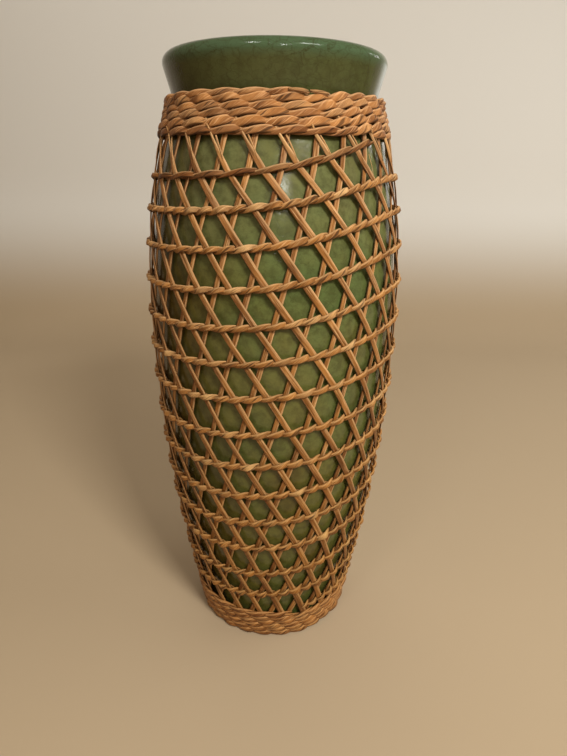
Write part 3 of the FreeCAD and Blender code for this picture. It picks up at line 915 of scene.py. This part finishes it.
@dataclass
class Splints:
    """The two families of flat split canes that cross on the wall."""

    weave: Weave
    outer_face: float = 2.12 * MM
    inner_face: float = 1.12 * MM
    outer_width: float = 3.0 * MM
    inner_width: float = 2.65 * MM
    thickness: float = 0.72 * MM
    tuck: float = 2.2 * MM
    stations_each_row: int = 8
    inner_seed: int = 40
    top_lag: float = 3.0 / 360
    lag_below: float = 1.3
    lag_rows: float = 1.6
    wander: Uneven = Uneven(0.7, 0.0006, 0.5)
    thinness: Uneven = Uneven(11.0, 2.2, 0.9)
    thin_above: float = 0.55
    thin_most: float = 0.45
    stain: Uneven = Uneven(16.0, 0.9, 1.9)
    stain_mean: float = 0.35
    stain_most: float = 0.8
    breadth: Uneven = Uneven(22.0, 0.12)
    sway: Uneven = Uneven(30.0, 0.22, 0.7)
    own_breadth: Uneven = Uneven(1.0, 0.10, 0.3)
    own_end: Uneven = Uneven(1.0, 0.5, 4.1)
    own_spread: Uneven = Uneven(1.0, 0.7, 5.3)
    low_swell: float = 0.12
    pinch_share: float = 0.50
    pinch_twist: float = 0.65
    end_share: float = 0.25
    end_stations: float = 2.0
    tip: tuple[tuple[float, ...], ...] = (
        (271.4, 0.1, 3.4, 0.50), (272.2, 0.2, 3.8, 0.50), (272.9, 0.3, 4.1, 0.40), (273.4, 0.4, 4.3, 0.20))
    fork: tuple[tuple[float, ...], ...] = (
        (270.0, 2.3, 2.7, 0.40), (267.5, 2.0, 3.0, 0.42), (265.0, 1.6, 3.0, 0.40), (262.5, 1.1, 2.9, 0.35),
        (260.5, 0.6, 2.8, 0.25))
    pinch_top: float = 270 * MM
    pinch_end: float = 258 * MM
    maker: CaneMaker = CaneMaker(sides=12, squareness=0.6, creases=0.25)

    def build(self) -> list[Piece]:
        """Lays and dresses every splint.

        Returns:
            The splints, the outer ones first.
        """
        finish = SPLINT_CANE.make()
        weave = self.weave
        pieces = []
        families = (("outer", weave.outer_splints, 0.0, weave.outer_lean, 0),
                    ("inner", weave.outer_splints + 1, 0.5, -weave.inner_lean, self.inner_seed))
        for family, count, offset, lean, seed in families:
            for number in range(count):
                first = weave.start + (number + offset) / weave.per_turn
                piece = self.splint(f"{family}_cane_{number + 1:02d}", first, lean, number + seed)
                pieces.append(dress(piece, [f"{family}_splint_{number + 1:02d}"]))
        for piece in pieces:
            piece.data.materials.append(finish)
        return pieces

    def splint(self, name: str, first: float, lean: float, number: int) -> Piece:
        """One splint, from under the collar to under the foot band.

        Args:
            name: The piece's name.
            first: Its azimuth in turns on the first row line.
            lean: Its turns to the right in each row.
            number: Which splint it is, for its own unevenness.

        Returns:
            The splint.
        """
        weave = self.weave
        outer = lean > 0.0
        top = weave.row_at(first, lean, weave.collar_top - self.tuck)
        bottom = weave.row_at(first, lean, weave.base_band_bottom + self.tuck)
        count = int((bottom - top) * self.stations_each_row)
        frames = []
        for step in range(count + 1):
            row = top + (bottom - top) * step / count
            turns, height = weave.meet(first, lean, row)
            lag = self.lag(row, turns) if outer else 0.0
            frames.append(weave.wall.frame(turns - lag + self.wander.at(row, number), height))
        strips = [self.lays(frames, outer, number)]
        if outer:
            strips.append(self.loose_end(first, lean, number, self.fork))
            if number % 2:
                strips.append(self.loose_end(first, lean, number, self.tip))
        return self.maker.roll(name, strips, number * 0.37)

    def lag(self, row: float, turns: float) -> float:
        """How far an outer splint stands back to the left near the collar, in turns."""
        return self.top_lag * ease((self.lag_below - (row - self.weave.wind(turns))) / self.lag_rows)

    def lays(self, frames: Sequence[Station], outer: bool, number: int) -> list[Lay]:
        """The course of one splint, with its own width and twist.

        Args:
            frames: Its places on the wall, from the top.
            outer: Whether it is one of the outer splints.
            number: Which splint it is, for its own unevenness.

        Returns:
            Its stations.
        """
        face, width = (self.outer_face, self.outer_width) if outer else (self.inner_face, self.inner_width)
        lays = []
        along = 0.0
        for step, (place, normal, _) in enumerate(frames):
            run, across, through = heading(frames, step)
            if step:
                along += (place - frames[step - 1][0]).length
            thin = clamp(self.thinness.at(along, number) - self.thin_above) * self.thin_most
            wide = 1.0 + self.breadth.at(along, number)
            wide += self.own_breadth.at(OWN, number) - thin + self.low_swell * lowness(place.z)
            pinch = ease((place.z - self.pinch_end) / (self.pinch_top - self.pinch_end)) if outer else 0.0
            twist = Matrix.Rotation(self.sway.at(along, number) + self.pinch_twist * pinch, 3, run)
            half = 0.5 * self.thickness
            dark = clamp(self.stain_mean + self.stain.at(along, number)) * self.stain_most
            wide *= taper(step, len(frames) - 1, self.end_share, self.end_stations) * (1.0 - self.pinch_share * pinch)
            lays.append(Lay(place + normal * (face + half * (1.0 + pinch)), twist @ across, twist @ through,
                            0.5 * width * wide, half, along, dark, pinch * 0.5))
        return lays

    def loose_end(self, first: float, lean: float, number: int, marks: Sequence[tuple[float, ...]]) -> list[Lay]:
        """A thin split end at the top of an outer splint.

        Args:
            first: The splint's azimuth in turns on the first row line.
            lean: Its turns to the right in each row.
            number: Which splint it is, for its own unevenness.
            marks: Height, millimetres to the right of the splint, distance from the wall and half width, in
                millimetres, of each station.

        Returns:
            Its stations.
        """
        weave = self.weave
        lays = []
        for step, (level, right, stand, half) in enumerate(marks):
            height = (level + self.own_end.at(OWN, number)) * MM
            row = weave.row_at(first, lean, height)
            turns, _ = weave.meet(first, lean, row)
            place, normal, up = weave.wall.frame(turns - self.lag(row, turns), height)
            side = up.cross(normal)
            sway = right * (1.0 + self.own_spread.at(OWN, number))
            lays.append(Lay(place + (side * sway + normal * stand) * MM, side, normal, half * MM, 0.24 * MM,
                            0.003 * step, 0.1, 0.2))
        return lays


def lobe(phase: float, lag: float, skew: float) -> float:
    """How far in front a strand is at a phase round its pair, from 0 to 1."""
    return 0.5 + 0.5 * cos(phase - lag - skew * cos(phase))


@dataclass(frozen=True)
class Stitch:
    """How a twined pair runs at one place: its turn, and shares of its width, thickness and colour."""

    turn: float
    wide: float = 1.0
    thick: float = 1.0
    dark: float = 0.0


@dataclass
class TwinedPair:
    """Two strands that twist round each other as they wind round the splints."""

    weave: Weave
    key: str
    stitch: Callable[[float], Stitch]
    route: Callable[[float], Pair]
    span: Pair
    nodes: tuple[str, ...]
    finish: Cane
    half_width: float = 1.42 * MM
    half_thickness: float = 0.80 * MM
    front_depth: float = 3.62 * MM
    back_depth: float = 0.74 * MM
    rise: float = 0.62 * MM
    lens: float = 0.25
    cream: float = 0.8
    swell: float = 0.18
    width_lobe: Pair = (0.5, 0.35)
    depth_lobe: Pair = (0.32, 0.25)
    depth_power: float = 0.95
    own_step: float = 17.3
    own_breadth: Uneven = Uneven(1.0, 1.0, 0.3)
    own_lean: Uneven = Uneven(1.0, 0.34, 1.3)
    own_cream: Uneven = Uneven(1.0, 2.6, 2.3)
    own_stain: Uneven = Uneven(1.0, 0.5, 3.1)
    cream_above: float = 0.35
    lean_swing: float = 0.20
    breadth: Uneven = Uneven(2.1, 0.4)
    breadth_most: float = 0.20
    wander: Uneven = Uneven(0.6, 0.25, 2.0)
    end_share: float = 0.3
    end_stations: float = 5.0
    stations: int = 14
    extras: Sequence[Sequence[Lay]] = ()
    maker: CaneMaker = CaneMaker(sides=14, squareness=0.8, creases=0.42)

    def build(self) -> list[Piece]:
        """Winds and dresses both strands.

        Returns:
            The two strands.
        """
        finish = self.finish.make()
        pieces = []
        for strand, letter in enumerate("ab"):
            strips = [self.lays(strand)] + (list(self.extras) if strand == 0 else [])
            piece = self.maker.roll(f"{self.key}_{letter}", strips, 3.0 + 11.0 * strand + len(self.key))
            piece.data.materials.append(finish)
            pieces.append(dress(piece, self.nodes))
        return pieces

    def lays(self, strand: int) -> list[Lay]:
        """The course of one strand, with its own width, twist and colour.

        Args:
            strand: 0 for one strand, and 1 for the other.

        Returns:
            Its stations.
        """
        begin, end = self.span
        count = int((end - begin) * self.stations)
        points = [self.point(begin + (end - begin) * step / count, strand) for step in range(count + 1)]
        lays = []
        along = 0.0
        for step, (middle, _, phase, crossing) in enumerate(points):
            run, across, through = heading(points, step)
            if step:
                along += (middle - points[step - 1][0]).length
            stitch = self.stitch(crossing)
            front = lobe(phase, *self.width_lobe)
            own = self.own_step * round(phase / TAU) + 5.0 * strand + len(self.key)
            uneven = self.own_breadth.at(own) + self.breadth.at(crossing, strand + len(self.key))
            lean = Matrix.Rotation(self.own_lean.at(own) + self.lean_swing * sin(phase), 3, run)
            wide = self.half_width * stitch.wide * (1.0 - self.lens + self.lens * front)
            wide *= 1.0 + self.breadth_most * uneven + self.swell * lowness(middle.z)
            thick = self.half_thickness * stitch.thick * (0.5 + 0.5 * front)
            tip = taper(step, count, self.end_share, self.end_stations)
            pale = clamp(self.own_cream.at(own) - self.cream_above) * front * self.cream
            dark = clamp(stitch.dark + self.own_stain.at(own) * front)
            lays.append(Lay(middle, lean @ across, lean @ through, wide * tip, thick * tip, along, dark, pale))
        return lays

    def point(self, crossing: float, strand: int) -> tuple[Vector, Vector, float, float]:
        """Where a strand runs at a crossing.

        Args:
            crossing: Outer splints passed, from the top down.
            strand: 0 for one strand, and 1 for the other, half a turn on.

        Returns:
            Its middle, the wall's normal, its phase round the pair, and the crossing.
        """
        turns, height = self.route(crossing)
        place, normal, up = self.weave.wall.frame(turns, height)
        stitch = self.stitch(crossing)
        phase = -TAU * stitch.turn + math.pi * strand
        front = lobe(phase, *self.depth_lobe)
        depth = self.back_depth + (self.front_depth - self.back_depth) * front ** self.depth_power
        sway = 1.0 + self.wander.at(crossing, strand)
        middle = place + normal * depth + up * (self.rise * stitch.wide * sway * sin(phase))
        return middle, normal, phase, crossing


@dataclass(frozen=True)
class CloseBand:
    """A close band: its rows run level, and step down to the next just before their turn is full."""

    weave: Weave
    levels: tuple[float, ...]
    shares: tuple[float, ...]
    darks: tuple[float, ...]
    slant: float = 3.0 / 360

    @property
    def begin(self) -> float:
        """The azimuth where the first row starts, in turns."""
        return self.weave.row_step - 0.5 * self.weave.band_step

    def gained(self, crossing: float) -> float:
        """How many rows the strand has gone down.

        Args:
            crossing: Outer splints passed, from the top down.

        Returns:
            The rows.
        """
        turns = self.begin - crossing / self.weave.per_turn
        half = 0.5 * self.weave.band_step
        return sum(ease((self.weave.row_step + self.slant * row + half - (turns + row + 1)) / (2.0 * half))
                   for row in range(len(self.levels) - 1))

    def read(self, values: Sequence[float], crossing: float) -> float:
        """A value of the rows, blended where the strand steps down.

        Args:
            values: The value of each row.
            crossing: Outer splints passed.

        Returns:
            The value there.
        """
        gained = self.gained(crossing)
        row = min(len(values) - 2, int(gained))
        return values[row] + (values[row + 1] - values[row]) * (gained - row)

    def route(self, crossing: float) -> Pair:
        """Azimuth and height at a crossing."""
        return self.begin - crossing / self.weave.per_turn, self.read(self.levels, crossing)

    def stitch(self, crossing: float) -> Stitch:
        """One stitch for each outer splint, as wide as its row.

        Args:
            crossing: Outer splints passed.

        Returns:
            How the pair runs there.
        """
        wide = self.read(self.shares, crossing)
        return Stitch(0.5 * crossing + 0.3 * self.gained(crossing), wide, 0.6 + 0.4 * wide,
                      self.read(self.darks, crossing))


@dataclass
class Jacket:
    """The woven jacket: splints, open weft, collar and foot band."""

    weave: Weave

    thin_row_end = 34
    thin_row_start = 0.14
    collar_levels = (286.4, 283.6, 280.2, 277.5, 274.3, 271.2)
    foot_levels = (18.3, 15.2, 12.1, 9.0, 5.9, 2.8)
    close_pair = {
        "half_width": 1.76 * MM, "half_thickness": 0.92 * MM, "front_depth": 3.5 * MM, "back_depth": 2.0 * MM,
        "rise": 0.62 * MM, "lens": 0.36, "cream": 0.36, "swell": 0.0,
    }
    tongue = ((6.8, 287.9, 0.35), (9.8, 288.1, 0.55), (12.8, 287.7, 0.65), (15.2, 286.9, 0.55), (16.0, 286.0, 0.30))
    tail = ((16.4, 287.6, 0.30), (19.4, 287.3, 0.50), (22.6, 286.8, 0.55), (25.6, 286.1, 0.30))
    fibre = ((43.0, 262.5, 0.10), (44.0, 258.0, 0.14), (44.6, 253.5, 0.12), (45.6, 249.5, 0.07))

    def open_route(self, crossing: float) -> Pair:
        """Azimuth and height of the open weft at a crossing."""
        return self.weave.meet(self.weave.start - crossing / self.weave.per_turn, self.weave.outer_lean, 0.0)

    def open_stitch(self, crossing: float) -> Stitch:
        """Half a turn for each outer splint on the thin first row, and a whole turn below it.

        Args:
            crossing: Outer splints passed.

        Returns:
            How the pair runs there.
        """
        last = self.thin_row_end
        if crossing <= last:
            return Stitch(0.5 * (crossing + self.thin_row_start), 0.86, 0.85, 0.75)
        blend = clamp(crossing - last)
        start = 0.5 * (last + self.thin_row_start)
        turn = start + (0.5 * (last + 2) - start) * blend + max(0.0, crossing - last - 1.0)
        return Stitch(turn, 0.86 + 0.14 * blend, 0.85 + 0.15 * blend, 0.75 - 0.6 * blend)

    def open_span(self) -> Pair:
        """How far the open weft goes.

        Returns:
            Its first and last crossing.
        """
        weave = self.weave
        steps = [step for step in range(-60, 480)
                 if weave.base_band_top + 1.2 * MM < self.open_route(step)[1] < weave.collar_bottom + 1.0 * MM]
        return float(steps[0]), float(steps[-1])

    def strip(self, marks: Sequence[Triple], stand: float, thick: float, dark: float) -> list[Lay]:
        """A loose strip of cane that lies on the weave, or a dark strip under one as a painted shadow.

        Args:
            marks: Azimuth in degrees, height in millimetres and half width in millimetres of each station.
            stand: Its distance from the wall.
            thick: Its half thickness.
            dark: How dark it is.

        Returns:
            Its stations.
        """
        wall = self.weave.wall
        frames = [wall.frame(degrees / 360, height * MM) for degrees, height, _ in marks]
        lays = []
        for step, ((place, normal, _), (_, _, half)) in enumerate(zip(frames, marks)):
            _, across, through = heading(frames, step)
            lays.append(Lay(place + normal * stand, across, through, half * MM, thick,
                            0.002 * step, dark, 0.5 * (1.0 - dark)))
        return lays

    def build(self) -> list[Piece]:
        """Makes and dresses every piece of the jacket.

        Returns:
            The splints, and then the strands.
        """
        weave = self.weave
        collar = CloseBand(weave, tuple(z * MM for z in self.collar_levels),
                           shares=(0.78, 1.08, 1.02, 1.0, 1.14, 0.92), darks=(0.3, 0.1, 0.15, 0.2, 0.0, 0.45))
        foot = CloseBand(weave, tuple(z * MM for z in self.foot_levels),
                         shares=(1.0, 1.05, 1.0, 1.05, 1.0, 1.0), darks=(0.2, 0.1, 0.2, 0.1, 0.2, 0.3))
        turns = weave.per_turn * (len(collar.levels) - weave.band_step)
        loose = []
        for marks in (self.tongue, self.tail):
            # Each loose strip gets a darker strip under it, a little lower, wider and nearer the wall: a painted
            # shadow.
            shadow = [(degrees, level - 0.45, half + 0.15) for degrees, level, half in marks]
            loose.append(self.strip(shadow, 4.2 * MM, 0.25 * MM, 1.0))
            loose.append(self.strip(marks, 4.6 * MM, 0.25 * MM, 0.2))
        pairs = (
            TwinedPair(weave, "open_weft", self.open_stitch, self.open_route, self.open_span(),
                       ("weft_front_strand", "weft_back_strand"), WEFT_CANE,
                       extras=[self.strip(self.fibre, 5.2 * MM, 0.08 * MM, 0.0)]),
            TwinedPair(weave, "collar", collar.stitch, collar.route, (0.0, turns), ("collar_strand",),
                       COLLAR_CANE, extras=loose, **self.close_pair),
            TwinedPair(weave, "foot_band", foot.stitch, foot.route, (0.0, turns), ("base_band_strand",),
                       COLLAR_CANE, **self.close_pair),
        )
        return Splints(weave).build() + [piece for pair in pairs for piece in pair.build()]


@dataclass(frozen=True)
class Lamp:
    """A soft lamp that faces the vase. It may show on glossy surfaces, and may light the others."""

    name: str
    place: Triple
    size: Pair
    watts: float
    colour: Triple
    on_glossy: bool = False
    on_matt: bool = True
    aim: Triple = (0.0, 0.0, 0.16)

    def hang(self) -> None:
        """Adds the lamp to the scene."""
        data = bpy.data.lights.new(self.name, "AREA")
        data.shape = "RECTANGLE"
        data.size, data.size_y = self.size
        data.energy, data.color = self.watts, self.colour
        lamp = bpy.data.objects.new(self.name, data)
        lamp.visible_glossy, lamp.visible_diffuse = self.on_glossy, self.on_matt
        lamp.visible_camera = False
        bpy.context.scene.collection.objects.link(lamp)
        lamp.location = self.place
        lamp.rotation_euler = (Vector(self.aim) - Vector(self.place)).to_track_quat("-Z", "Y").to_euler()


@dataclass(frozen=True)
class Studio:
    """A pale floor that sweeps up behind, soft lamps, and the camera."""

    floor_colour: Colour = tint(178, 158, 130)
    wall_colour: Colour = tint(230, 228, 222)
    sky_colour: Colour = tint(234, 213, 180)
    sky_strength: float = 0.25
    sweep_bend: float = 0.25
    sweep_back: float = 0.75
    sweep_reach: float = 2.5
    sweep_half_width: float = 3.0
    sweep_steps: int = 12
    glint_height: float = 0.28
    sensor: float = 36.0
    lens: float = 26.35
    camera_place: Triple = (0.00550, -0.2959, 0.2581)
    camera_pitch: float = 20.82
    camera_roll: float = 0.61
    lamps: tuple[Lamp, ...] = (
        Lamp("key_lamp", (0.31, -0.62, 0.72), (0.19, 0.19), 6.6, (1.0, 0.97, 0.91)),
        Lamp("side_lamp", (0.95, 0.05, 0.35), (0.8, 0.8), 4.0, (1.0, 0.99, 0.96)),
        Lamp("fill_lamp", (-0.85, -0.75, 0.5), (0.9, 0.9), 1.1, (1.0, 0.58, 0.26)),
        Lamp("back_lamp", (-0.20, 0.70, 0.75), (0.6, 0.6), 1.2, (1.0, 0.97, 0.92)),
        Lamp("edge_lamp", (0.40, 0.69, 0.32), (0.36, 0.12), 0.085, (0.96, 1.0, 0.98), True, False),
    )
    glints: tuple[tuple[str, float, float, Pair, float], ...] = (
        ("spark_lamp", 9.0, 17.5, (0.10, 0.03), 0.60),
        ("left_glint", -23.0, 38.0, (0.17, 0.03), 0.85),
        ("right_glint", 37.0, 35.0, (0.34, 0.03), 1.70),
        ("far_glint", 120.0, 15.0, (0.06, 0.03), 0.22),
        ("rear_glint", 110.0, 18.0, (0.05, 0.02), 0.12),
    )

    def build(self) -> None:
        """Sets the whole studio up."""
        self.sweep()
        for lamp in self.lamps:
            lamp.hang()
        for name, degrees, rise, size, power in self.glints:
            turn, climb = math.radians(degrees), math.radians(rise)
            level = cos(climb)
            place = (sin(turn) * level, -cos(turn) * level, sin(climb) + self.glint_height)
            Lamp(name, place, size, power, (1.0, 0.99, 0.97), True).hang()
        world = bpy.data.worlds.new("soft_room")
        bpy.context.scene.world = world
        world.use_nodes = True
        sky = world.node_tree.nodes["Background"]
        sky.inputs["Color"].default_value = self.sky_colour
        sky.inputs["Strength"].default_value = self.sky_strength
        self.camera()

    def sweep(self) -> None:
        """The floor and the wall behind it, joined by a bend."""
        mesh = bmesh.new()
        bend, steps = self.sweep_bend, self.sweep_steps
        profile = [(-self.sweep_reach, 0.0), (self.sweep_back - bend, 0.0)]
        profile += [(self.sweep_back - bend + bend * sin(a), bend - bend * cos(a))
                    for a in (TAU / 4 * n / steps for n in range(1, steps + 1))]
        profile += [(self.sweep_back, self.sweep_reach)]
        verts = [mesh.verts.new((-self.sweep_half_width, y, z)) for y, z in profile]
        edges = [mesh.edges.new(pair) for pair in zip(verts, verts[1:])]
        grown = bmesh.ops.extrude_edge_only(mesh, edges=edges)
        bmesh.ops.translate(mesh, vec=(2.0 * self.sweep_half_width, 0.0, 0.0),
                            verts=[item for item in grown["geom"] if isinstance(item, bmesh.types.BMVert)])
        bmesh.ops.recalc_face_normals(mesh, faces=mesh.faces)
        floor = finish_mesh(mesh, "floor")
        bench = Bench("pale_floor")
        level = bench.split(bench.objects(), "Z").between(0.02, 0.2)
        colour = bench.mix(level, self.floor_colour, self.wall_colour)
        floor.data.materials.append(bench.surface(Base_Color=colour, Roughness=0.75))

    def camera(self) -> None:
        """The camera at the photograph's place and angle."""
        data = bpy.data.cameras.new("camera")
        data.sensor_width = self.sensor
        data.lens = self.lens
        data.clip_start = 0.01
        camera = bpy.data.objects.new("camera", data)
        bpy.context.scene.collection.objects.link(camera)
        pitch = Matrix.Rotation(math.radians(90.0 - self.camera_pitch), 4, "X")
        roll = Matrix.Rotation(math.radians(self.camera_roll), 4, "Z")
        camera.matrix_world = Matrix.Translation(self.camera_place) @ (pitch @ roll)
        bpy.context.scene.camera = camera


def main() -> None:
    """Builds the vase, its jacket and the studio."""
    logging.basicConfig(level=logging.INFO, format="%(name)s: %(message)s")
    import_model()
    wall = Wall()
    pieces = [Stoneware(wall).build()] + Jacket(Weave(wall)).build()
    for piece in pieces:
        LOG.info("%s: %d faces", piece.name, len(piece.data.polygons))
    Studio().build()
    bpy.context.scene.view_settings.view_transform = "Standard"


if __name__ == "__main__":
    main()
